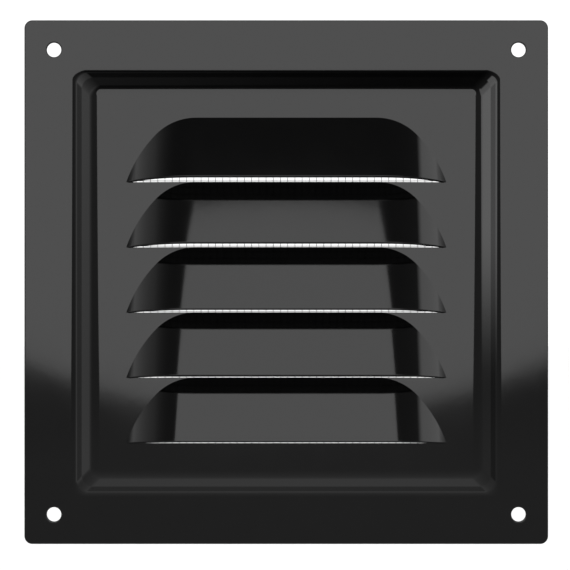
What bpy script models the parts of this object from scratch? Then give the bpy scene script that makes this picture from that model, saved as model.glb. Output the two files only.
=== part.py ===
"""Louvred air grille: a pressed sheet-steel vent plate with insect cloth glued to its back.

Metres, +Z up. The wall is the plane y = 0 and the front of the grille faces -Y. The origin is the
centre of the square flange, in the wall plane.

A section through the plate is worked out as "depth": how far the painted front surface stands off
the flange front, towards -Y. The front surface is modelled as one open sheet, and Solidify gives it
the thickness of the steel, backwards.
"""

import math

import bmesh
import bpy

MM = 0.001

# ---- flange ------------------------------------------------------------------------------------
PLATE_SIDE = 150.0 * MM
PLATE_CORNER_RADIUS = 2.3 * MM
SHEET = 1.0 * MM
HOLE_SPACING = 133.0 * MM
HOLE_DIAMETER = 4.1 * MM

# ---- raised panel and the drawn step round it ---------------------------------------------------
PANEL_HALF = 52.80 * MM            # half side of the flat top of the panel
PANEL_CORNER_RADIUS = 0.1 * MM
FOOT_CORNER_RADIUS = 3.1 * MM
FOOT_BEND_RADIUS = 2.6 * MM        # concave bend where the step leaves the flange
LOWER_WALL_RUN = 1.54 * MM         # the wall is two flats with a faint crease between them
LOWER_WALL_ANGLE = math.radians(45.3)
WALL_CREASE_RADIUS = 0.5 * MM
UPPER_WALL_RUN = 2.21 * MM
UPPER_WALL_ANGLE = math.radians(39.5)
CREST_RADIUS = 4.95 * MM           # bend onto the top of the panel

# ---- louvres --------------------------------------------------------------------------------------
LOUVRES = 5
PITCH = 18.44 * MM                 # also the height of one louvre
FIRST_SLOT_Z = 28.36 * MM          # lower edge of the top slot
TOP_FOLD_DROP = 0.28 * MM          # the top louvre, with plain panel over it, is this much shorter
SHOULDER_HALF = 25.5 * MM          # half length of the straight top fold
SHOULDER_RADIUS = 15.8 * MM        # arc from the top fold down to the flank
SHOULDER_ANGLE = math.radians(46.5)
FLANK_RADIUS = 38.0 * MM           # gentle bow from the shoulder down to the tip
LIP_STAND_OFF = 7.8 * MM           # how far the lip stands off the panel
LIP_RISE = 1.08 * MM               # lip above the slot's lower edge, at the middle
TIP_DROP = 0.12 * MM               # the slot's ends and its cut edge, under the fold's level

# ---- insect cloth and its adhesive ------------------------------------------------------------------
GAP = 0.3 * MM
CLOTH_SIDE = 103.0 * MM
CLOTH_THICKNESS = 0.6 * MM
DAB_RADIUS = 2.8 * MM
DAB_HEIGHT = 1.7 * MM
DAB_RING_HALF = 49.0 * MM          # the dabs sit on a square of this half side
DABS_PER_SIDE = 3                  # counted from one corner up to, not with, the next

# ---- smoothness ---------------------------------------------------------------------------------------
CORNER_SEGMENTS = 6
BEND_SEGMENTS = 4
CREASE_SEGMENTS = 1
SHOULDER_SEGMENTS = 6
FLANK_SEGMENTS = 6
HOLE_SEGMENTS = 32


def clear_scene():
    for old in list(bpy.data.objects):
        bpy.data.objects.remove(old, do_unlink=True)


def new_collection(name):
    collection = bpy.data.collections.new(name)
    bpy.context.scene.collection.children.link(collection)
    return collection


def material(name, colour, roughness, metallic=0.0, transmission=0.0):
    made = bpy.data.materials.new(name)
    made.use_nodes = True
    shader = made.node_tree.nodes["Principled BSDF"]
    shader.inputs["Base Color"].default_value = (*colour, 1.0)
    shader.inputs["Roughness"].default_value = roughness
    shader.inputs["Metallic"].default_value = metallic
    shader.inputs["Transmission Weight"].default_value = transmission
    made.diffuse_color = (*colour, 1.0)
    return made


def add_object(name, mesh, collection, finish):
    made = bpy.data.objects.new(name, mesh)
    collection.objects.link(made)
    made.data.materials.append(finish)
    return made


def arc_steps(start, end, segments):
    """The angles after start, up to and with end."""
    return [start + (end - start) * i / segments for i in range(1, segments + 1)]


def rounded_square(half, radius):
    """(x, z) corners of a rounded square, anticlockwise seen from the front, from the right side."""
    points = []
    for turn in range(4):
        centre = turn * math.pi / 2 + math.pi / 4
        reach = (half - radius) * math.sqrt(2.0)
        cx, cz = reach * math.cos(centre), reach * math.sin(centre)
        for i in range(CORNER_SEGMENTS + 1):
            angle = turn * math.pi / 2 + (math.pi / 2) * i / CORNER_SEGMENTS
            points.append((cx + radius * math.cos(angle), cz + radius * math.sin(angle)))
    return points


def circle(cx, cz, radius):
    turns = [2 * math.pi * i / HOLE_SEGMENTS for i in range(HOLE_SEGMENTS)]
    return [(cx + radius * math.cos(turn), cz + radius * math.sin(turn)) for turn in turns]


def step_profile():
    """(run inwards, depth) of the step, from its foot on the flange to the top of the panel."""
    profile = [(0.0, 0.0)]

    def bend(radius, start, end, segments):
        run, depth = profile[-1]
        turn = radius if end > start else -radius
        for angle in arc_steps(start, end, segments):
            profile.append((run + turn * (math.sin(angle) - math.sin(start)),
                            depth + turn * (math.cos(start) - math.cos(angle))))

    def straight(run, angle):
        profile.append((profile[-1][0] + run, profile[-1][1] + run * math.tan(angle)))

    bend(FOOT_BEND_RADIUS, 0.0, LOWER_WALL_ANGLE, BEND_SEGMENTS)
    straight(LOWER_WALL_RUN, LOWER_WALL_ANGLE)
    bend(WALL_CREASE_RADIUS, LOWER_WALL_ANGLE, UPPER_WALL_ANGLE, CREASE_SEGMENTS)
    straight(UPPER_WALL_RUN, UPPER_WALL_ANGLE)
    bend(CREST_RADIUS, UPPER_WALL_ANGLE, 0.0, BEND_SEGMENTS)
    return profile


STEP_RUN, STEP_HEIGHT = step_profile()[-1]
FOOT_HALF = PANEL_HALF + STEP_RUN
PANEL_FRONT_Y = -(SHEET + STEP_HEIGHT)
PANEL_BACK_Y = PANEL_FRONT_Y + SHEET


def flank_outline():
    """(x, height over the slot) down the right of a louvre, from the top fold to the tip."""
    points = [(SHOULDER_HALF, PITCH)]
    shoulder_height = PITCH - SHOULDER_RADIUS * (1 - math.cos(SHOULDER_ANGLE))
    tip_angle = math.acos(math.cos(SHOULDER_ANGLE) - (shoulder_height + TIP_DROP) / FLANK_RADIUS)
    for radius, start, end, segments in ((SHOULDER_RADIUS, 0.0, SHOULDER_ANGLE, SHOULDER_SEGMENTS),
                                         (FLANK_RADIUS, SHOULDER_ANGLE, tip_angle, FLANK_SEGMENTS)):
        x, height = points[-1]
        for angle in arc_steps(start, end, segments):
            points.append((x + radius * (math.sin(angle) - math.sin(start)),
                           height + radius * (math.cos(angle) - math.cos(start))))
    points[-1] = (points[-1][0], -TIP_DROP)
    return points


def lip_point(height):
    """(height over the slot, stand-off) of the lip straight below one point of the fold."""
    climb = (height + TIP_DROP) / (PITCH + TIP_DROP)
    rise = (LIP_RISE + TIP_DROP) * climb - TIP_DROP
    return rise, LIP_STAND_OFF * (height - rise) / (PITCH - LIP_RISE)


def link_ring(bm, inner, outer):
    """A band of quads between two closed rings with as many points each."""
    count = len(inner)
    for i in range(count):
        j = (i + 1) % count
        bm.faces.new((outer[i], outer[j], inner[j], inner[i]))


def ring(bm, points, depth):
    return [bm.verts.new((x, -(SHEET + depth), z)) for x, z in points]


def fill_flat(bm, rims):
    """Faces over the flat ground between closed rims of vertices: one outside, the rest holes."""
    edges = []
    for rim in rims:
        for a, b in zip(rim, rim[1:] + rim[:1]):
            edges.append(bm.edges.get((a, b)) or bm.edges.new((a, b)))
    bmesh.ops.triangle_fill(bm, edges=edges, use_beauty=True)


def add_louvre(bm, slot_z, right, drop):
    """One louvre's face, hanging from its fold. Returns the fold, left tip to right tip.

    The fold lies lower than the outline by a drop that fades out towards the tips.
    """
    sections = [(-x, height) for x, height in reversed(right)] + right
    shrink = 1 - drop / PITCH
    fold = [bm.verts.new((x, PANEL_FRONT_Y, slot_z + height * shrink)) for x, height in sections]
    lip = [fold[0]]
    for x, height in sections[1:-1]:
        rise, stand_off = lip_point(height)
        lip.append(bm.verts.new((x, PANEL_FRONT_Y - stand_off, slot_z + rise)))
    lip.append(fold[-1])
    for i in range(len(sections) - 1):
        corners = [fold[i], fold[i + 1], lip[i + 1], lip[i]]
        bm.faces.new(list(dict.fromkeys(corners)))
    return fold


def front_surface():
    """The painted front of the plate as one open sheet: flange, step, panel and louvre hoods."""
    bm = bmesh.new()
    step = []
    for run, depth in step_profile():
        radius = min(PANEL_CORNER_RADIUS + STEP_RUN - run, FOOT_CORNER_RADIUS)
        step.append(ring(bm, rounded_square(FOOT_HALF - run, radius), depth))
    for outer, inner in zip(step, step[1:]):
        link_ring(bm, inner, outer)
    plate_edge = ring(bm, rounded_square(PLATE_SIDE / 2, PLATE_CORNER_RADIUS), 0.0)
    screw_holes = [ring(bm, circle(sx * HOLE_SPACING / 2, sz * HOLE_SPACING / 2, HOLE_DIAMETER / 2), 0.0)
                   for sx in (-1, 1) for sz in (-1, 1)]
    fill_flat(bm, [plate_edge, step[0], *screw_holes])

    # The panel is the square less one toothed outline: down the right flanks, along the lowest slot
    # and up the left flanks. Each louvre's top fold is also the lower edge of the slot above it.
    right = flank_outline()
    drops = [TOP_FOLD_DROP] + [0.0] * (LOUVRES - 1)
    folds = [add_louvre(bm, FIRST_SLOT_Z - k * PITCH, right, drop) for k, drop in enumerate(drops)]
    outline = [v for fold in folds for v in fold[len(right):]]
    outline += [v for fold in reversed(folds) for v in fold[:len(right)]]
    fill_flat(bm, [step[-1], outline])
    for face in bm.faces:                            # every face of the front looks towards -Y
        face.normal_update()
        if face.normal.y > 0:
            face.normal_flip()

    mesh = bpy.data.meshes.new("faceplate")
    bm.to_mesh(mesh)
    bm.free()
    return mesh


def build_faceplate(parts, finish):
    plate = add_object("faceplate", front_surface(), parts, finish)
    thick = plate.modifiers.new("sheet", 'SOLIDIFY')
    thick.thickness = SHEET
    thick.offset = -1.0
    thick.use_even_offset = True
    thick.use_quality_normals = True


def build_cloth(parts, finish):
    """The wire cloth, as the flat slab that its crimped wires fill."""
    bm = bmesh.new()
    bmesh.ops.create_cube(bm, size=1.0)
    bmesh.ops.scale(bm, vec=(CLOTH_SIDE, CLOTH_THICKNESS, CLOTH_SIDE), verts=bm.verts)
    mesh = bpy.data.meshes.new("insect_mesh")
    bm.to_mesh(mesh)
    bm.free()
    cloth = add_object("insect_mesh", mesh, parts, finish)
    cloth.location.y = PANEL_BACK_Y + GAP + CLOTH_THICKNESS / 2


def dab_mesh():
    """A flattened dome with its flat side at y = 0 and its crown towards +Y."""
    bm = bmesh.new()
    bmesh.ops.create_uvsphere(bm, u_segments=20, v_segments=12, radius=DAB_RADIUS)
    low = [v for v in bm.verts if v.co.z < -1e-6]
    bmesh.ops.delete(bm, geom=low, context='VERTS')
    rim = [e for e in bm.edges if e.is_boundary]
    bmesh.ops.edgeloop_fill(bm, edges=rim)
    bmesh.ops.recalc_face_normals(bm, faces=bm.faces)
    for v in bm.verts:                               # flatten it, and turn its crown from +Z to +Y
        v.co = (v.co.x, v.co.z * DAB_HEIGHT / DAB_RADIUS, -v.co.y)
    mesh = bpy.data.meshes.new("glue_dab")
    bm.to_mesh(mesh)
    bm.free()
    mesh.shade_smooth()
    return mesh


def dab_places():
    """(x, z) of every dab, evenly round the square, from the top left corner clockwise."""
    step = 2 * DAB_RING_HALF / DABS_PER_SIDE
    places = []
    for side in range(4):
        for i in range(DABS_PER_SIDE):
            along, across = -DAB_RING_HALF + i * step, DAB_RING_HALF
            for _ in range(side):
                along, across = across, -along
            places.append((along, across))
    return places


def build_dabs(parts, finish):
    mesh = dab_mesh()
    mesh.materials.append(finish)
    y = PANEL_BACK_Y + 2 * GAP + CLOTH_THICKNESS
    for number, (x, z) in enumerate(dab_places(), start=1):
        dab = bpy.data.objects.new(f"glue_dab_{number:02d}", mesh)
        parts.objects.link(dab)
        dab.location = (x, y, z)


def main():
    clear_scene()
    parts = new_collection("louvred_air_grille")
    gloss_black = material("gloss_black_paint", (0.004, 0.004, 0.0042), 0.12)
    zinc_wire = material("galvanised_wire", (0.55, 0.56, 0.57), 0.38, metallic=1.0)
    hot_melt = material("hot_melt_adhesive", (0.82, 0.78, 0.66), 0.35, transmission=0.5)
    build_faceplate(parts, gloss_black)
    build_cloth(parts, zinc_wire)
    build_dabs(parts, hot_melt)
    bpy.context.view_layer.update()


main()
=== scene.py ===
"""Louvred air grille: the looks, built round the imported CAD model.

Metres, +Z up, the wall is y = 0 and the front faces -Y, as in the CAD. "Depth" is how far the
painted front stands off the flange front, towards -Y.
"""

import math

import bmesh
import bpy
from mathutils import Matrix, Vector, noise


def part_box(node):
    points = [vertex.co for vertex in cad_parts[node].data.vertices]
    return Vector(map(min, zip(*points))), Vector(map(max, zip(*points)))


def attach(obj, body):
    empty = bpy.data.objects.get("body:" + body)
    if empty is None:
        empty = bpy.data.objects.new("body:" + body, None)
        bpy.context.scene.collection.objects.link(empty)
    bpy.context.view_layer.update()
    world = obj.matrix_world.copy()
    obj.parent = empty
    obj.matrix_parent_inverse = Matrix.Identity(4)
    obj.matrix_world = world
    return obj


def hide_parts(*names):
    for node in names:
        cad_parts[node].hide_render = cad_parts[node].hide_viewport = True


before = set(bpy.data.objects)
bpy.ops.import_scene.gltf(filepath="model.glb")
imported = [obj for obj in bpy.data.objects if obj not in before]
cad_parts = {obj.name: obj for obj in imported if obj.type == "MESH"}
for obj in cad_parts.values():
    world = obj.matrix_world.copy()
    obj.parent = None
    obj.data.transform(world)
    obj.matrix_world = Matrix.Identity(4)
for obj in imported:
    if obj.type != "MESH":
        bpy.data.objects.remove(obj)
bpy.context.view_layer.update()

MM = 0.001
BODY = "root"

# ---- sizes read from the frame -------------------------------------------------------------------
plate_low, plate_high = (Vector(corner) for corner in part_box("faceplate"))
cloth_low, cloth_high = (Vector(corner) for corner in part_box("insect_mesh"))
PLATE_SIDE = plate_high.x - plate_low.x

# ---- the pressing, as in the CAD -----------------------------------------------------------------
SHEET = 1.0 * MM
PLATE_CORNER_RADIUS = 2.3 * MM
HOLE_SPACING = 133.0 * MM
HOLE_DIAMETER = 4.1 * MM
PANEL_HALF = 52.80 * MM
PANEL_CORNER_RADIUS = 0.1 * MM
FOOT_CORNER_RADIUS = 3.1 * MM
FOOT_BEND_RADIUS = 2.6 * MM
LOWER_WALL_RUN = 1.54 * MM         # the step's wall is two flats with a faint crease between them
LOWER_WALL_ANGLE = math.radians(45.3)
UPPER_WALL_RUN = 2.21 * MM
UPPER_WALL_ANGLE = math.radians(39.5)
WALL_CREASE_RADIUS = 0.5 * MM
CREST_RADIUS = 4.95 * MM
LOUVRES = 5
PITCH = 18.44 * MM
FIRST_SLOT_Z = 28.36 * MM
TOP_FOLD_DROP = 0.28 * MM          # the top louvre, with plain panel over it, is this much shorter
SHOULDER_HALF = 25.5 * MM
SHOULDER_RADIUS = 15.8 * MM
SHOULDER_ANGLE = math.radians(46.5)
FLANK_RADIUS = 38.0 * MM
LIP_STAND_OFF = 7.8 * MM
LIP_RISE = 1.08 * MM
TIP_DROP = 0.12 * MM               # the slot's ends and its cut edge, under the fold's level

# ---- fineness and rounded edges of the pressing --------------------------------------------------
CORNER_SEGMENTS = 16
BEND_SEGMENTS = 12
CREASE_SEGMENTS = 3
SHOULDER_SEGMENTS = 24
FLANK_SEGMENTS = 24
HOLE_SEGMENTS = 64
EDGE_RADIUS = 0.22 * MM            # cut edges of the louvres, rounded by the paint
FLANGE_EDGE_RADIUS = 0.35 * MM     # deburred edges of the flange and its holes
TIP_EDGE_RADIUS = 0.01 * MM
SHARP_TIP = 1.0                    # two unit ways out that add up to less meet in a sharp tip
EDGE_SHARE = 0.2                   # the most of the sheet beside a cut edge that its rounding takes
EDGE_SEGMENTS = 5
CREASE_ANGLE = math.radians(20.0)  # the louvres' folds are creases, everything softer is smooth
FLAT_NORMAL = 0.999999             # a face with more of its normal along y than this is flat
FLAT_PULL = 1.0e6                  # ground, which outweighs the bends beside it by this much

# ---- wire cloth ----------------------------------------------------------------------------------
WIRE_RADIUS = 0.10 * MM
UPRIGHT_PITCH = 2.049 * MM
LEVEL_PITCH = 2.056 * MM
UPRIGHT_PHASE = 0.41 * MM          # x of one upright wire
LEVEL_PHASE = 28.72 * MM           # z of one level wire
WIRE_SIDES = 6
POINTS_PER_CROSSING = 3
WIRE_BOW = 1.05                    # swing to each side, in radii: over 1, crossing wires clear

# ---- adhesive dabs -------------------------------------------------------------------------------
DAB_SUBDIVISIONS = 5
DAB_LUMPS = ((1.3, 0.16), (3.4, 0.05))      # (lumps across the dab, how far they push its surface)
DAB_NOISE_STEP = 7.3               # how far apart two dabs' lumps are read from the noise
DAB_WAIST = 0.86                   # width over the foot, of the plain dome's,
DAB_SKIRT = 0.22                   # how much wider the foot spreads over the wires,
DAB_SKIRT_FADE = 3                 # how fast that fades upwards,
DAB_FIT = 1.044                    # and what both are divided by, to keep near the dome's width
DAB_CROWN = 0.8                    # under 1, the blob's sides are fuller than a ball's
DAB_SUNK = 0.8 * MM                # how deep the foot reaches into the cloth
DAB_PEAK = 0.45 * MM               # the point that is left where the nozzle was pulled away,
DAB_PEAK_WIDTH = 0.35              # how wide it is and how far off the middle, in radii,
DAB_PEAK_OFFSET = 0.3
DAB_PEAK_TURN = 2.4                # and by how many radians it goes round from dab to dab

# ---- surface finish ------------------------------------------------------------------------------
# Colours are linear (r, g, b). A patch's range is the two noise values between which it fades in.
PAINT_IOR = 1.5
PAINT_THIN = (0.0005, 0.0005, 0.00055)
PAINT_POOLED = (0.0008, 0.0008, 0.00085)
PAINT_POOL_SIZE = 9.0 * MM
PAINT_POOL_RANGE = (0.35, 0.65)
PAINT_WORN = (0.004, 0.004, 0.0042)
PAINT_WORN_RANGE = (0.62, 0.80)    # how pointed the surface is there
PAINT_WORN_ROUGHNESS = 0.06        # added on the worn edges
PAINT_HAZE_SIZE = 14.0 * MM
PAINT_HAZE_RANGE = (0.3, 0.7)
PAINT_ROUGHNESS = (0.062, 0.078)
PEEL_SIZE = 2.4 * MM               # the paint's orange peel,
PEEL_GRAIN_SIZE = 0.5 * MM         # with a finer grain on it,
PEEL_GRAIN = 0.12                  # this much of it,
PEEL_HEIGHT = 0.0012 * MM          # and both from trough to crest

WIRE_SPANGLE_SIZE = 0.35 * MM
WIRE_DARK = (0.56, 0.57, 0.59)
WIRE_BRIGHT = (0.78, 0.79, 0.80)
WIRE_DULL = (0.50, 0.51, 0.52)
WIRE_DULL_SIZE = 6.0 * MM
WIRE_DULL_RANGE = (0.45, 0.65)
WIRE_DULL_MOST = 0.6
WIRE_ROUGHNESS = (0.26, 0.40)
WIRE_DULL_ROUGHNESS = 0.15         # added where it is dullest
WIRE_PIT_SIZE = 0.06 * MM
WIRE_PIT_DEPTH = 0.004 * MM

MELT_IOR = 1.48
MELT_GLOW = 0.6                    # share of the light that scatters under the skin,
MELT_GLOW_DEPTH = 1.2 * MM
MELT_GLOW_SPREAD = (1.0, 0.8, 0.5)          # and how far each colour goes, of that depth
MELT_CLEAR = (0.83, 0.77, 0.61)
MELT_MILKY = (0.90, 0.87, 0.78)
MELT_CLOUD_SIZE = 1.6 * MM
MELT_CLOUD_RANGE = (0.35, 0.65)
MELT_DUST = (0.55, 0.52, 0.46)
MELT_DUST_SIZE = 0.25 * MM
MELT_DUST_RANGE = (0.60, 0.72)
MELT_DUST_MOST = 0.35
MELT_ROUGHNESS = (0.22, 0.34)
MELT_DUST_ROUGHNESS = 0.2          # added where it is dustiest
MELT_FLOW_SIZE = 1.8 * MM
MELT_RIPPLE_SIZE = 0.3 * MM
MELT_RIPPLE = 0.1
MELT_FLOW_HEIGHT = 0.25 * MM

FLOOR_ROUGHNESS = 0.9
FLOOR_GLOW = 0.6
FLOOR_COLOURS = (0.88, 0.88, 0.88), (0.92, 0.92, 0.92)
FLOOR_BLOTCH = 4.0 * MM
FLOOR_TOOTH_SIZE = 1.5 * MM
FLOOR_TOOTH = 0.02 * MM

# ---- camera, square to the plate -----------------------------------------------------------------
CAMERA_DISTANCE = 452.8 * MM       # to the front of the flange
CAMERA_X = -0.36 * MM
CAMERA_Z = -0.82 * MM
LENS = 99.93                       # focal length and sensor width in millimetres
SENSOR_WIDTH = 36.0

# ---- studio --------------------------------------------------------------------------------------
# Heights and depths in the world are parts of its unit direction: up (z) and back (y).
BACKDROP = 1.15                    # white that the camera sees, and that lights the wire cloth
BACKDROP_START = (0.5, 0.75)       # depths between which it takes over behind the plate
ROOM_LOW = 0.32                    # radiance of the room in the gloss: under the horizon,
ROOM_LEVEL = 0.24                  # at it,
ROOM_TOP = 0.02                    # and overhead
ROOM_HORIZON = (-0.12, -0.06)      # heights between which low turns to level
ROOM_CURVE = 1.6                   # over 1, the dark stays high up
ROOM_FLOORS = ((0.20, 2.0), (0.20, 30.0))   # added towards straight down: radiance, steepness
ROOM_BEHIND = 0.6                  # how much of the room and its lights goes on behind the plate,
ROOM_BEHIND_START = (0.0, 0.08)    # and the depths between which it drops to that
# Soft round lights in the world: azimuth, elevation, inner and outer radius (degrees), radiance.
GLOW = (-125.0, 25.0, 6.5, 74.0, 1.22)      # the wide fill on the left
SIDE = (96.4, 17.9, 30.0, 35.5, 1.35)       # the side light on the right,
SIDE_FOOT = (-0.06, 0.04)          # which ends at the level of the horizon
SIDE_LOW = (0.13, 0.35, 0.35)      # and is brighter low down: full below, gone above, added radiance
FRONT = (0.0, 22.9, 28.9, 1.70)    # the front lamp: azimuth, elevation, radius (degrees), radiance
FRONT_DISTANCE = 1.445             # metres, as the next
FLOOR_HALF = 6.0                   # half the side of the studio board
FLOOR_Z = -250.0 * MM


# ==== shapes ======================================================================================

def arc_steps(start, end, segments):
    """The angles after start, up to and with end."""
    return [start + (end - start) * i / segments for i in range(1, segments + 1)]


def rounded_square(half, radius):
    """(x, z) corners of a rounded square, anticlockwise seen from the front, from the right side."""
    points = []
    for turn in range(4):
        centre = turn * math.pi / 2 + math.pi / 4
        reach = (half - radius) * math.sqrt(2.0)
        cx, cz = reach * math.cos(centre), reach * math.sin(centre)
        for i in range(CORNER_SEGMENTS + 1):
            angle = turn * math.pi / 2 + (math.pi / 2) * i / CORNER_SEGMENTS
            points.append((cx + radius * math.cos(angle), cz + radius * math.sin(angle)))
    return points


def circle(cx, cz, radius):
    """(x, z) points of a screw hole."""
    turns = [2 * math.pi * i / HOLE_SEGMENTS for i in range(HOLE_SEGMENTS)]
    return [(cx + radius * math.cos(turn), cz + radius * math.sin(turn)) for turn in turns]


def step_profile():
    """(run inwards, depth) of the step, from its foot on the flange to the top of the panel."""
    profile = [(0.0, 0.0)]

    def bend(radius, start, end, segments):
        run, depth = profile[-1]
        turn = radius if end > start else -radius
        for angle in arc_steps(start, end, segments):
            profile.append((run + turn * (math.sin(angle) - math.sin(start)),
                            depth + turn * (math.cos(start) - math.cos(angle))))

    def straight(run, angle):
        profile.append((profile[-1][0] + run, profile[-1][1] + run * math.tan(angle)))

    bend(FOOT_BEND_RADIUS, 0.0, LOWER_WALL_ANGLE, BEND_SEGMENTS)
    straight(LOWER_WALL_RUN, LOWER_WALL_ANGLE)
    bend(WALL_CREASE_RADIUS, LOWER_WALL_ANGLE, UPPER_WALL_ANGLE, CREASE_SEGMENTS)
    straight(UPPER_WALL_RUN, UPPER_WALL_ANGLE)
    bend(CREST_RADIUS, UPPER_WALL_ANGLE, 0.0, BEND_SEGMENTS)
    return profile


STEP_RUN, STEP_HEIGHT = step_profile()[-1]
FOOT_HALF = PANEL_HALF + STEP_RUN
PANEL_FRONT_Y = -(SHEET + STEP_HEIGHT)


def flank_outline():
    """(x, height over the slot) down the right of a louvre, from the top fold to the tip."""
    points = [(SHOULDER_HALF, PITCH)]
    shoulder_height = PITCH - SHOULDER_RADIUS * (1 - math.cos(SHOULDER_ANGLE))
    tip_angle = math.acos(math.cos(SHOULDER_ANGLE) - (shoulder_height + TIP_DROP) / FLANK_RADIUS)
    for radius, start, end, segments in ((SHOULDER_RADIUS, 0.0, SHOULDER_ANGLE, SHOULDER_SEGMENTS),
                                         (FLANK_RADIUS, SHOULDER_ANGLE, tip_angle, FLANK_SEGMENTS)):
        x, height = points[-1]
        for angle in arc_steps(start, end, segments):
            points.append((x + radius * (math.sin(angle) - math.sin(start)),
                           height + radius * (math.cos(angle) - math.cos(start))))
    points[-1] = (points[-1][0], -TIP_DROP)
    return points


def lip_point(height):
    """(height over the slot, stand-off) of the lip straight below one point of the fold."""
    climb = (height + TIP_DROP) / (PITCH + TIP_DROP)
    rise = (LIP_RISE + TIP_DROP) * climb - TIP_DROP
    return rise, LIP_STAND_OFF * (height - rise) / (PITCH - LIP_RISE)


def link_ring(bm, inner, outer):
    """A band of quads between two closed rings with as many points each."""
    for i in range(len(inner)):
        j = (i + 1) % len(inner)
        bm.faces.new((outer[i], outer[j], inner[j], inner[i]))


def ring(bm, points, depth):
    """Vertices at (x, z) points that stand this far off the flange front."""
    return [bm.verts.new((x, -(SHEET + depth), z)) for x, z in points]


def fill_flat(bm, rims):
    """Faces over the flat ground between closed rims of vertices: one outside, the rest holes."""
    edges = []
    for rim in rims:
        for a, b in zip(rim, rim[1:] + rim[:1]):
            edges.append(bm.edges.get((a, b)) or bm.edges.new((a, b)))
    bmesh.ops.triangle_fill(bm, edges=edges, use_beauty=True)


def add_louvre(bm, slot_z, right, drop):
    """One louvre's face, hanging from its fold. Returns the fold, left tip to right tip.

    The fold lies lower than the outline by a drop that fades out towards the tips.
    """
    sections = [(-x, height) for x, height in reversed(right)] + right
    shrink = 1 - drop / PITCH
    fold = [bm.verts.new((x, PANEL_FRONT_Y, slot_z + height * shrink)) for x, height in sections]
    lip = [fold[0]]
    for x, height in sections[1:-1]:
        rise, stand_off = lip_point(height)
        lip.append(bm.verts.new((x, PANEL_FRONT_Y - stand_off, slot_z + rise)))
    lip.append(fold[-1])
    for i in range(len(sections) - 1):
        corners = [fold[i], fold[i + 1], lip[i + 1], lip[i]]
        bm.faces.new(list(dict.fromkeys(corners)))
    return fold


def front_surface():
    """The painted front of the plate as one open sheet: flange, step, panel and louvre hoods."""
    bm = bmesh.new()
    step = []
    for run, depth in step_profile():
        radius = min(PANEL_CORNER_RADIUS + STEP_RUN - run, FOOT_CORNER_RADIUS)
        step.append(ring(bm, rounded_square(FOOT_HALF - run, radius), depth))
    for outer, inner in zip(step, step[1:]):
        link_ring(bm, inner, outer)
    plate_edge = ring(bm, rounded_square(PLATE_SIDE / 2, PLATE_CORNER_RADIUS), 0.0)
    places = [(sx * HOLE_SPACING / 2, sz * HOLE_SPACING / 2) for sx in (-1, 1) for sz in (-1, 1)]
    screw_holes = [ring(bm, circle(cx, cz, HOLE_DIAMETER / 2), 0.0) for cx, cz in places]
    fill_flat(bm, [plate_edge, step[0], *screw_holes])

    right = flank_outline()
    drops = [TOP_FOLD_DROP] + [0.0] * (LOUVRES - 1)
    folds = [add_louvre(bm, FIRST_SLOT_Z - k * PITCH, right, drop) for k, drop in enumerate(drops)]
    outline = [v for fold in folds for v in fold[len(right):]]
    outline += [v for fold in reversed(folds) for v in fold[:len(right)]]
    fill_flat(bm, [step[-1], outline])
    for face in bm.faces:                            # every face of the front looks towards -Y
        face.normal_update()
        if face.normal.y > 0:
            face.normal_flip()

    mesh = bpy.data.meshes.new("faceplate_pressing")
    bm.to_mesh(mesh)
    bm.free()
    return mesh


def thickened(surface):
    """The sheet's two faces, not joined yet: vertex i of the front has vertex i + count behind it."""
    sheet = bpy.data.objects.new("sheet", surface)
    bpy.context.scene.collection.objects.link(sheet)
    thick = sheet.modifiers.new("sheet", 'SOLIDIFY')
    thick.thickness = SHEET
    thick.offset = -1.0
    thick.use_even_offset = True
    thick.use_quality_normals = True
    thick.use_rim = False
    evaluated = sheet.evaluated_get(bpy.context.evaluated_depsgraph_get())
    mesh = bpy.data.meshes.new_from_object(evaluated)
    bpy.data.objects.remove(sheet)
    return mesh


def rim_frames(bm, count):
    """For each vertex of the front's cut edges: the next one, and the way out of the sheet there."""
    following, outwards = {}, {}
    for edge in bm.edges:
        if not edge.is_boundary or edge.verts[0].index >= count:
            continue
        loop = edge.link_loops[0]
        a, b = loop.vert, loop.link_loop_next.vert
        following[a] = b
        way = (b.co - a.co).normalized().cross(loop.face.normal).normalized()
        for v in (a, b):
            outwards[v] = outwards.get(v, Vector()) + way
    return following, outwards


def edge_radius(v, way):
    """The rounding of the cut edge at one vertex, less where the sheet runs to a point."""
    if way.length < SHARP_TIP:                       # the two sides of a slot meet here
        return TIP_EDGE_RADIUS
    if v.co.y > -(SHEET + FLANGE_EDGE_RADIUS):
        return FLANGE_EDGE_RADIUS
    room = [way.dot(v.co - e.other_vert(v).co) for e in v.link_edges if not e.is_boundary]
    return min([EDGE_RADIUS] + [EDGE_SHARE * length for length in room if length > 0.0])


def round_rims(bm, count):
    """Joins the two faces of the sheet along every cut edge with a rounded rim."""
    following, outwards = rim_frames(bm, count)
    radii = {v: edge_radius(v, way) for v, way in outwards.items()}
    for way in outwards.values():
        way.normalize()
    partners = {v: bm.verts[v.index + count] for v in outwards}
    rows = {}
    turns = arc_steps(0.0, math.pi / 2, EDGE_SEGMENTS)
    for v, way in outwards.items():
        behind = partners[v]
        through = (v.co - behind.co) / SHEET
        radius = radii[v]
        front = [v.co - way * radius * (1 - math.sin(turn)) - through * radius * (1 - math.cos(turn))
                 for turn in turns]
        back = [behind.co - way * radius * (1 - math.sin(turn)) + through * radius * (1 - math.cos(turn))
                for turn in turns]
        rows[v] = [v, *(bm.verts.new(co) for co in front + back[::-1]), behind]
    for v, way in outwards.items():
        rows[v][0].co -= way * radii[v]
        rows[v][-1].co -= way * radii[v]
    for a, b in following.items():
        for level in range(len(rows[a]) - 1):
            bm.faces.new((rows[b][level], rows[a][level], rows[a][level + 1], rows[b][level + 1]))


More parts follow.
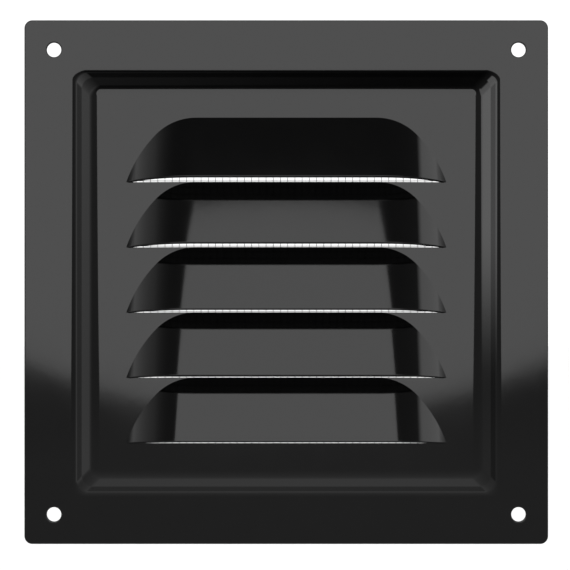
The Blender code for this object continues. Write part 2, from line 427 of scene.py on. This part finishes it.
def corner_normals(mesh):
    """Smooth normals that big faces and flat ground decide, and that break only at the creases."""
    bm = bmesh.new()
    bm.from_mesh(mesh)
    bm.normal_update()
    weights = {}
    for face in bm.faces:
        flat = abs(face.normal.y) > FLAT_NORMAL
        weights[face] = face.calc_area() * (FLAT_PULL if flat else 1.0)
    normals = []
    for face in bm.faces:
        for v in face.verts:
            near = [f for f in v.link_faces if f.normal.dot(face.normal) > math.cos(CREASE_ANGLE)]
            normals.append(sum((f.normal * weights[f] for f in near), Vector()).normalized())
    bm.free()
    return normals


def build_pressing():
    """The plate as one closed sheet, smooth but for its creases."""
    mesh = thickened(front_surface())
    bm = bmesh.new()
    bm.from_mesh(mesh)
    bm.verts.ensure_lookup_table()
    bm.normal_update()
    round_rims(bm, len(bm.verts) // 2)
    bm.to_mesh(mesh)
    bm.free()
    mesh.shade_smooth()
    mesh.normals_split_custom_set(corner_normals(mesh))
    piece = bpy.data.objects.new("faceplate_pressing", mesh)
    bpy.context.scene.collection.objects.link(piece)
    return piece


def build_cloth():
    """Plain-woven wire cloth: every wire passes over and under the ones it crosses."""
    bm = bmesh.new()
    mid_y = (cloth_low.y + cloth_high.y) / 2
    half = (cloth_high.x - cloth_low.x) / 2

    def places(pitch, phase):
        first = math.ceil((-half + WIRE_RADIUS - phase) / pitch)
        last = math.floor((half - WIRE_RADIUS - phase) / pitch)
        return [phase + i * pitch for i in range(first, last + 1)]

    def weave(across, along, pitch, upright):
        for number, offset in enumerate(across):
            sign = 1 if number % 2 else -1
            start, stop = along[0] - pitch / 2, along[-1] + pitch / 2
            count = int(round((stop - start) / pitch)) * POINTS_PER_CROSSING
            previous = None
            for i in range(count + 1):
                t = start + (stop - start) * i / count
                lift = sign * WIRE_RADIUS * WIRE_BOW * math.cos(math.pi * (t - along[0]) / pitch)
                y = mid_y + (lift if upright else -lift)
                loop = []
                for side in range(WIRE_SIDES):
                    turn = 2 * math.pi * side / WIRE_SIDES
                    a, b = WIRE_RADIUS * math.cos(turn), WIRE_RADIUS * math.sin(turn)
                    co = (offset + a, y + b, t) if upright else (t, y + b, offset + a)
                    loop.append(bm.verts.new(co))
                if previous:
                    for side in range(WIRE_SIDES):
                        other = (side + 1) % WIRE_SIDES
                        bm.faces.new((previous[side], previous[other], loop[other], loop[side]))
                else:
                    bm.faces.new(loop)
                previous = loop
            bm.faces.new(previous)

    uprights, levels = places(UPRIGHT_PITCH, UPRIGHT_PHASE), places(LEVEL_PITCH, LEVEL_PHASE)
    weave(uprights, levels, LEVEL_PITCH, True)
    weave(levels, uprights, UPRIGHT_PITCH, False)
    bmesh.ops.recalc_face_normals(bm, faces=bm.faces)
    mesh = bpy.data.meshes.new("woven_cloth")
    bm.to_mesh(mesh)
    bm.free()
    mesh.shade_smooth()
    piece = bpy.data.objects.new("woven_cloth", mesh)
    bpy.context.scene.collection.objects.link(piece)
    return piece


def build_dab(node_name, number):
    """One squeezed-on blob of adhesive, in place of the plain dome: lumpy, with a spread foot."""
    low, high = (Vector(corner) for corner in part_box(node_name))
    middle, radius, height = (low + high) / 2, (high.x - low.x) / 2, high.y - low.y
    peak_x = DAB_PEAK_OFFSET * math.cos(number * DAB_PEAK_TURN)
    peak_z = DAB_PEAK_OFFSET * math.sin(number * DAB_PEAK_TURN)
    bm = bmesh.new()
    bmesh.ops.create_icosphere(bm, subdivisions=DAB_SUBDIVISIONS, radius=1.0)
    for v in bm.verts:
        way = v.co.normalized()
        push = 1.0
        for lumps, amount in DAB_LUMPS:
            push += amount * noise.noise(way * lumps + Vector((number * DAB_NOISE_STEP, 0.0, 0.0)))
        climb = max(way.y, 0.0)
        spread = radius * push * (DAB_WAIST + DAB_SKIRT * (1 - climb) ** DAB_SKIRT_FADE) / DAB_FIT
        off_peak = math.hypot(way.x - peak_x, way.z - peak_z) / DAB_PEAK_WIDTH
        lift = height * climb ** DAB_CROWN * push if way.y > 0.0 else DAB_SUNK * way.y
        lift += DAB_PEAK * math.exp(-off_peak ** 2) * climb
        v.co = (middle.x + way.x * spread, low.y + lift, middle.z + way.z * spread)
    mesh = bpy.data.meshes.new(f"melt_{node_name}")
    bm.to_mesh(mesh)
    bm.free()
    mesh.shade_smooth()
    piece = bpy.data.objects.new(f"melt_{node_name}", mesh)
    bpy.context.scene.collection.objects.link(piece)
    return piece


# ==== finishes ====================================================================================

class Finish:
    """A material on the piece's own coordinates, with short ways to add its nodes."""

    def __init__(self, name):
        self.material = bpy.data.materials.new(name)
        self.material.use_nodes = True
        self.nodes, self.links = self.material.node_tree.nodes, self.material.node_tree.links
        self.shader = self.nodes["Principled BSDF"]
        self.coordinates = self.nodes.new("ShaderNodeTexCoord").outputs["Object"]

    def plain(self, **values):
        """Sets sockets that are the same all over; underscores stand for spaces in their names."""
        for name, value in values.items():
            self.shader.inputs[name.replace("_", " ")].default_value = value

    def noise(self, size, detail=2.0):
        """Cloudy noise whose blotches are about one size across."""
        node = self.nodes.new("ShaderNodeTexNoise")
        node.inputs["Scale"].default_value = 1.0 / size
        node.inputs["Detail"].default_value = detail
        self.links.new(self.coordinates, node.inputs["Vector"])
        return node.outputs["Fac"]

    def cells(self, size):
        """A random value for each of the crystals, about one size across."""
        node = self.nodes.new("ShaderNodeTexVoronoi")
        node.inputs["Scale"].default_value = 1.0 / size
        self.links.new(self.coordinates, node.inputs["Vector"])
        split = self.nodes.new("ShaderNodeSeparateColor")
        self.links.new(node.outputs["Color"], split.inputs[0])
        return split.outputs[0]

    def edges(self, start, stop):
        """0 on flat ground, 1 on the sharp outer edges, from how pointed the surface is."""
        point = self.nodes.new("ShaderNodeNewGeometry").outputs["Pointiness"]
        return self.stretch(point, start, stop, 0.0, 1.0)

    def stretch(self, value, start, stop, low, high):
        """From low at start to high at stop, and held outside them."""
        node = self.nodes.new("ShaderNodeMapRange")
        self.links.new(value, node.inputs["Value"])
        for name, number in (("From Min", start), ("From Max", stop), ("To Min", low), ("To Max", high)):
            node.inputs[name].default_value = number
        return node.outputs["Result"]

    def sum(self, *values):
        """Adds up two or more outputs."""
        total = values[0]
        for value in values[1:]:
            node = self.nodes.new("ShaderNodeMath")
            self.links.new(total, node.inputs[0])
            self.links.new(value, node.inputs[1])
            total = node.outputs[0]
        return total

    def mix(self, share, first, second):
        """Between two colours; each is a plain (r, g, b) or another colour's output."""
        node = self.nodes.new("ShaderNodeMix")
        node.data_type = 'RGBA'
        self.links.new(share, node.inputs["Factor"])
        for socket, colour in ((node.inputs["A"], first), (node.inputs["B"], second)):
            if isinstance(colour, tuple):
                socket.default_value = (*colour, 1.0)
            else:
                self.links.new(colour, socket)
        return node.outputs["Result"]

    def feed(self, name, value):
        """Leads a node's output to one of the shader's sockets."""
        self.links.new(value, self.shader.inputs[name])

    def bump(self, height, distance):
        """Relief in the shading; the distance is that of a height of 1."""
        node = self.nodes.new("ShaderNodeBump")
        node.inputs["Distance"].default_value = distance
        self.links.new(height, node.inputs["Height"])
        self.feed("Normal", node.outputs["Normal"])


def paint_material():
    """Stoved gloss black: faint orange peel, patches of haze, and thinner on the sharp edges."""
    paint = Finish("gloss_black_enamel")
    paint.plain(IOR=PAINT_IOR)
    pooled = paint.stretch(paint.noise(PAINT_POOL_SIZE), *PAINT_POOL_RANGE, 0.0, 1.0)
    worn = paint.edges(*PAINT_WORN_RANGE)
    paint.feed("Base Color", paint.mix(worn, paint.mix(pooled, PAINT_THIN, PAINT_POOLED), PAINT_WORN))
    haze = paint.stretch(paint.noise(PAINT_HAZE_SIZE, detail=4.0), *PAINT_HAZE_RANGE, *PAINT_ROUGHNESS)
    paint.feed("Roughness", paint.sum(haze, paint.stretch(worn, 0.0, 1.0, 0.0, PAINT_WORN_ROUGHNESS)))
    grain = paint.stretch(paint.noise(PEEL_GRAIN_SIZE), 0.0, 1.0, 0.0, PEEL_GRAIN)
    paint.bump(paint.sum(paint.noise(PEEL_SIZE, detail=1.0), grain), PEEL_HEIGHT)
    return paint.material


def wire_material():
    """Galvanised wire: zinc crystals that differ in shade, dull patches and a drawn, pitted skin."""
    wire = Finish("galvanised_wire_cloth")
    wire.plain(Metallic=1.0)
    spangle = wire.cells(WIRE_SPANGLE_SIZE)
    zinc = wire.mix(spangle, WIRE_DARK, WIRE_BRIGHT)
    dull = wire.stretch(wire.noise(WIRE_DULL_SIZE), *WIRE_DULL_RANGE, 0.0, WIRE_DULL_MOST)
    wire.feed("Base Color", wire.mix(dull, zinc, WIRE_DULL))
    drawn = wire.stretch(spangle, 0.0, 1.0, *WIRE_ROUGHNESS)
    dusty = wire.stretch(dull, 0.0, WIRE_DULL_MOST, 0.0, WIRE_DULL_ROUGHNESS)
    wire.feed("Roughness", wire.sum(drawn, dusty))
    wire.bump(wire.noise(WIRE_PIT_SIZE), WIRE_PIT_DEPTH)
    return wire.material


def melt_material():
    """Hot-melt adhesive: cloudy, slightly yellow, with soft flow lumps and a dusty skin."""
    melt = Finish("hot_melt_adhesive")
    melt.plain(Subsurface_Weight=MELT_GLOW, Subsurface_Scale=MELT_GLOW_DEPTH, IOR=MELT_IOR,
               Subsurface_Radius=MELT_GLOW_SPREAD)
    cloud = melt.stretch(melt.noise(MELT_CLOUD_SIZE, detail=3.0), *MELT_CLOUD_RANGE, 0.0, 1.0)
    dust = melt.stretch(melt.noise(MELT_DUST_SIZE), *MELT_DUST_RANGE, 0.0, MELT_DUST_MOST)
    melt.feed("Base Color", melt.mix(dust, melt.mix(cloud, MELT_CLEAR, MELT_MILKY), MELT_DUST))
    skin = melt.stretch(cloud, 0.0, 1.0, *MELT_ROUGHNESS)
    dusty = melt.stretch(dust, 0.0, MELT_DUST_MOST, 0.0, MELT_DUST_ROUGHNESS)
    melt.feed("Roughness", melt.sum(skin, dusty))
    ripple = melt.stretch(melt.noise(MELT_RIPPLE_SIZE), 0.0, 1.0, 0.0, MELT_RIPPLE)
    melt.bump(melt.sum(melt.noise(MELT_FLOW_SIZE), ripple), MELT_FLOW_HEIGHT)
    return melt.material


def floor_material():
    """Pale studio board with a faint, fine tooth."""
    board = Finish("pale_floor")
    board.plain(Roughness=FLOOR_ROUGHNESS, Specular_IOR_Level=0.0, Emission_Strength=FLOOR_GLOW,
                Emission_Color=(1.0, 1.0, 1.0, 1.0))
    board.feed("Base Color", board.mix(board.noise(FLOOR_BLOTCH), *FLOOR_COLOURS))
    board.bump(board.noise(FLOOR_TOOTH_SIZE), FLOOR_TOOTH)
    return board.material


# ==== studio ======================================================================================

def build_camera():
    """Square to the plate, a little off its middle."""
    data = bpy.data.cameras.new("camera")
    data.lens = LENS
    data.sensor_width = SENSOR_WIDTH
    camera = bpy.data.objects.new("camera", data)
    bpy.context.scene.collection.objects.link(camera)
    camera.location = (CAMERA_X, -SHEET - CAMERA_DISTANCE, CAMERA_Z)
    camera.rotation_euler = (math.pi / 2, 0.0, 0.0)
    bpy.context.scene.camera = camera


def facing(azimuth, elevation):
    """A unit vector, from degrees to the right of the front (-Y) and degrees up."""
    turn, rise = math.radians(azimuth), math.radians(elevation)
    return Vector((math.sin(turn) * math.cos(rise), -math.cos(turn) * math.cos(rise), math.sin(rise)))


def build_world():
    """White behind everything; what the gloss mirrors is a dim room with two soft lights in it."""
    world = bpy.data.worlds.new("studio")
    world.use_nodes = True
    bpy.context.scene.world = world
    tree = world.node_tree
    nodes, links = tree.nodes, tree.links
    direction = nodes.new("ShaderNodeTexCoord").outputs["Generated"]

    def math_node(kind, *values):
        node = nodes.new("ShaderNodeMath")
        node.operation = kind
        for socket, value in zip(node.inputs, values):
            if isinstance(value, (int, float)):
                socket.default_value = value
            else:
                links.new(value, socket)
        return node.outputs[0]

    def angle_to(axis):
        node = nodes.new("ShaderNodeVectorMath")
        node.operation = 'DOT_PRODUCT'
        links.new(direction, node.inputs[0])
        node.inputs[1].default_value = axis
        return math_node('ARCCOSINE', node.outputs["Value"])

    def ramp(value, start, stop, low, high):
        node = nodes.new("ShaderNodeMapRange")
        node.interpolation_type = 'SMOOTHSTEP'
        links.new(value, node.inputs["Value"])
        for name, number in (("From Min", start), ("From Max", stop), ("To Min", low), ("To Max", high)):
            node.inputs[name].default_value = number
        return node.outputs["Result"]

    def soft_disc(azimuth, elevation, inner, outer, radiance):
        away = angle_to(facing(azimuth, elevation))
        return ramp(away, math.radians(inner), math.radians(outer), radiance, 0.0)

    split = nodes.new("ShaderNodeSeparateXYZ")
    links.new(direction, split.inputs[0])
    up, back = split.outputs["Z"], split.outputs["Y"]
    climb = math_node('POWER', math_node('MAXIMUM', up, 0.0), ROOM_CURVE)
    room = math_node('MULTIPLY_ADD', climb, ROOM_TOP - ROOM_LEVEL, ROOM_LEVEL)
    room = math_node('ADD', room, ramp(up, *ROOM_HORIZON, ROOM_LOW - ROOM_LEVEL, 0.0))
    down = math_node('MAXIMUM', math_node('MULTIPLY', up, -1.0), 0.0)
    for radiance, steepness in ROOM_FLOORS:
        room = math_node('MULTIPLY_ADD', math_node('POWER', down, steepness), radiance, room)
    *side_place, side_radiance = SIDE
    full, gone, added = SIDE_LOW
    strength = math_node('ADD', ramp(up, full, gone, added, 0.0), side_radiance)
    side = math_node('MULTIPLY', soft_disc(*side_place, 1.0), strength)
    side = math_node('MULTIPLY', side, ramp(up, *SIDE_FOOT, 0.0, 1.0))
    total = math_node('ADD', math_node('ADD', room, soft_disc(*GLOW)), side)
    total = math_node('MULTIPLY', total, ramp(back, *ROOM_BEHIND_START, 1.0, ROOM_BEHIND))
    total = math_node('MAXIMUM', total, ramp(back, *BACKDROP_START, 0.0, BACKDROP))
    seen = nodes.new("ShaderNodeLightPath").outputs["Is Camera Ray"]
    total = math_node('MAXIMUM', total, math_node('MULTIPLY', seen, BACKDROP))
    background = nodes["Background"]
    background.inputs["Color"].default_value = (1.0, 1.0, 1.0, 1.0)
    links.new(total, background.inputs["Strength"])


def build_front_lamp():
    """A round, even light that is turned to the origin."""
    azimuth, elevation, radius, radiance = FRONT
    reach = FRONT_DISTANCE * math.tan(math.radians(radius))
    data = bpy.data.lights.new("round_light", 'AREA')
    data.shape = 'DISK'
    data.size = 2 * reach
    data.energy = radiance * math.pi * math.pi * reach ** 2     # pi times its area, for a flat disc
    lamp = bpy.data.objects.new("round_light", data)
    way = facing(azimuth, elevation)
    lamp.location = way * FRONT_DISTANCE
    lamp.rotation_euler = way.to_track_quat('Z', 'Y').to_euler()
    lamp.visible_camera = False
    bpy.context.scene.collection.objects.link(lamp)


def build_floor():
    """A wide studio board under the object."""
    mesh = bpy.data.meshes.new("floor")
    bm = bmesh.new()
    bmesh.ops.create_grid(bm, x_segments=1, y_segments=1, size=FLOOR_HALF)
    bm.to_mesh(mesh)
    bm.free()
    floor = bpy.data.objects.new("floor", mesh)
    floor.location = (0.0, 0.0, FLOOR_Z)
    bpy.context.scene.collection.objects.link(floor)
    mesh.materials.append(floor_material())
    floor.visible_glossy = False                     # the room, not the floor, shows in the gloss


pressing = build_pressing()
pressing.data.materials.append(paint_material())
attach(pressing, BODY)
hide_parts("faceplate")

cloth = build_cloth()
cloth.data.materials.append(wire_material())
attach(cloth, BODY)
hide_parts("insect_mesh")

melt = melt_material()
dab_names = sorted(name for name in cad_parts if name.startswith("glue_dab"))
for number, name in enumerate(dab_names):
    dab = build_dab(name, number)
    dab.data.materials.append(melt)
    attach(dab, BODY)
    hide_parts(name)

build_camera()
build_world()
build_front_lamp()
build_floor()
bpy.context.scene.view_settings.view_transform = 'Standard'
